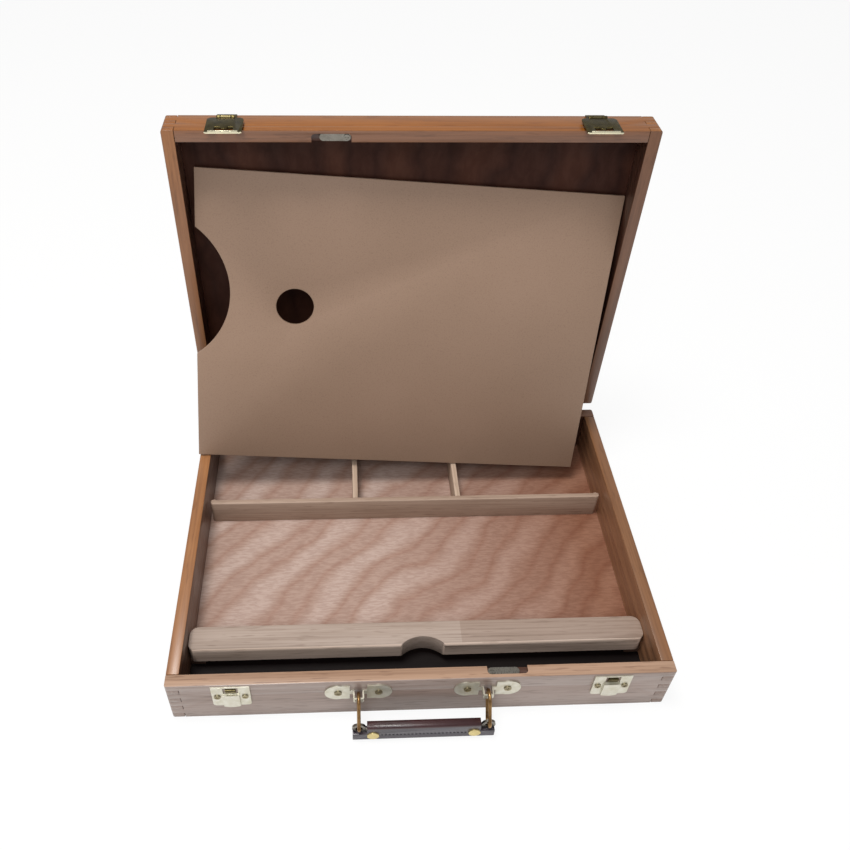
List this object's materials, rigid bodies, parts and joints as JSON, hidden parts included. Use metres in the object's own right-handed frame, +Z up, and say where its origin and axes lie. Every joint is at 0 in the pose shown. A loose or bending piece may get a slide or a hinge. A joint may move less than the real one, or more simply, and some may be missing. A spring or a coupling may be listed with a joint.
{
  "type": "sketch box",
  "caption": "Wooden artist’s sketch box standing open, with compartments, a hinged lid, latches, a leather carrying handle and a loose hardboard palette.",
  "frame": {"origin": "centre of the bottom face of the base, on the table", "axes": "+X to the right as seen from the handle side, +Y towards the lid hinges, +Z up"},
  "size_m": [0.4011, 0.3578, 0.3575],
  "materials": {
    "case_wood": "satin varnish",
    "inner_wood": "raw",
    "plywood": "satin",
    "hardboard": "matt",
    "brass": "plated",
    "dark_brass": "plated",
    "steel": "plain",
    "leather": "smooth"
  },
  "bodies": {
    "base": {"base_front_wall": "case_wood", "base_back_wall": "case_wood", "base_left_wall": "case_wood", "base_right_wall": "case_wood", "base_floor": "plywood", "long_partition": "inner_wood", "divider_left": "inner_wood", "divider_right": "inner_wood", "front_bar": "inner_wood", "bar_blocks": "inner_wood", "base_leaf_left": "brass", "base_leaf_right": "brass", "hinge_pins": "dark_brass", "base_leaf_screws": "brass", "handle_plate_left": "brass", "handle_plate_right": "brass", "handle_plate_screws": "brass", "catch_plate_left": "brass", "catch_plate_right": "brass", "catch_hook_left": "dark_brass", "catch_hook_right": "dark_brass", "catch_screws": "brass", "base_button_screw": "steel"},
    "lid": {"lid_front_wall": "case_wood", "lid_back_wall": "case_wood", "lid_left_wall": "case_wood", "lid_right_wall": "case_wood", "lid_panel": "plywood", "lid_leaf_left": "brass", "lid_leaf_right": "brass", "lid_leaf_screws": "brass", "hasp_plate_left": "dark_brass", "hasp_plate_right": "dark_brass", "hasp_screws": "dark_brass", "hasp_pins": "dark_brass", "lid_button_screw": "steel"},
    "flap_left": {"hasp_flap_left": "dark_brass"},
    "flap_right": {"hasp_flap_right": "dark_brass"},
    "base_turn_button": {"base_button": "steel"},
    "lid_turn_button": {"lid_button": "steel"},
    "rings": {"handle_ring_left": "brass", "handle_ring_right": "brass"},
    "grip": {"grip_leather": "leather", "grip_core": "steel", "grip_rivets": "brass"},
    "loose_palette": {"palette": "hardboard"}
  },
  "joints": [
    {"name": "lid_hinge", "type": "hinge", "parent": "base", "child": "lid", "pos_m": [0, 0.1544, 0.04815], "axis": [1, 0, 0], "range_deg": [0, 90]},
    {"name": "flap_left_lift", "type": "hinge", "parent": "lid", "child": "flap_left", "pos_m": [-0.15, 0.17145, 0.35565], "axis": [-1, 0, 0], "range_deg": [0, 120]},
    {"name": "flap_right_lift", "type": "hinge", "parent": "lid", "child": "flap_right", "pos_m": [0.15, 0.17145, 0.35565], "axis": [-1, 0, 0], "range_deg": [0, 120]},
    {"name": "base_button_turn", "type": "hinge", "parent": "base", "child": "base_turn_button", "pos_m": [0.0541, -0.1435, 0.0457], "axis": [0, 0, 1], "range_deg": [0, 90]},
    {"name": "lid_button_turn", "type": "hinge", "parent": "lid", "child": "lid_turn_button", "pos_m": [-0.0541, 0.15635, 0.34605], "axis": [0, -1, 0], "range_deg": [0, 90]},
    {"name": "handle_swing", "type": "hinge", "parent": "base", "child": "rings", "pos_m": [0, -0.1574, 0.033], "axis": [-1, 0, 0], "range_deg": [0, 120]},
    {"name": "grip_tilt", "type": "hinge", "parent": "rings", "child": "grip", "pos_m": [0, -0.17094, 0.01503], "axis": [-1, 0, 0], "range_deg": [0, 75]},
    {"name": "palette_lift_out", "type": "slide", "parent": "base", "child": "loose_palette", "axis": [-0.0499, -0.9647, 0.2585], "range_m": [0, 0.8]}
  ],
  "couplings": [
    {"joint": "palette_lift_out", "follows": "lid_hinge", "m_per_rad": 0.5093}
  ]
}
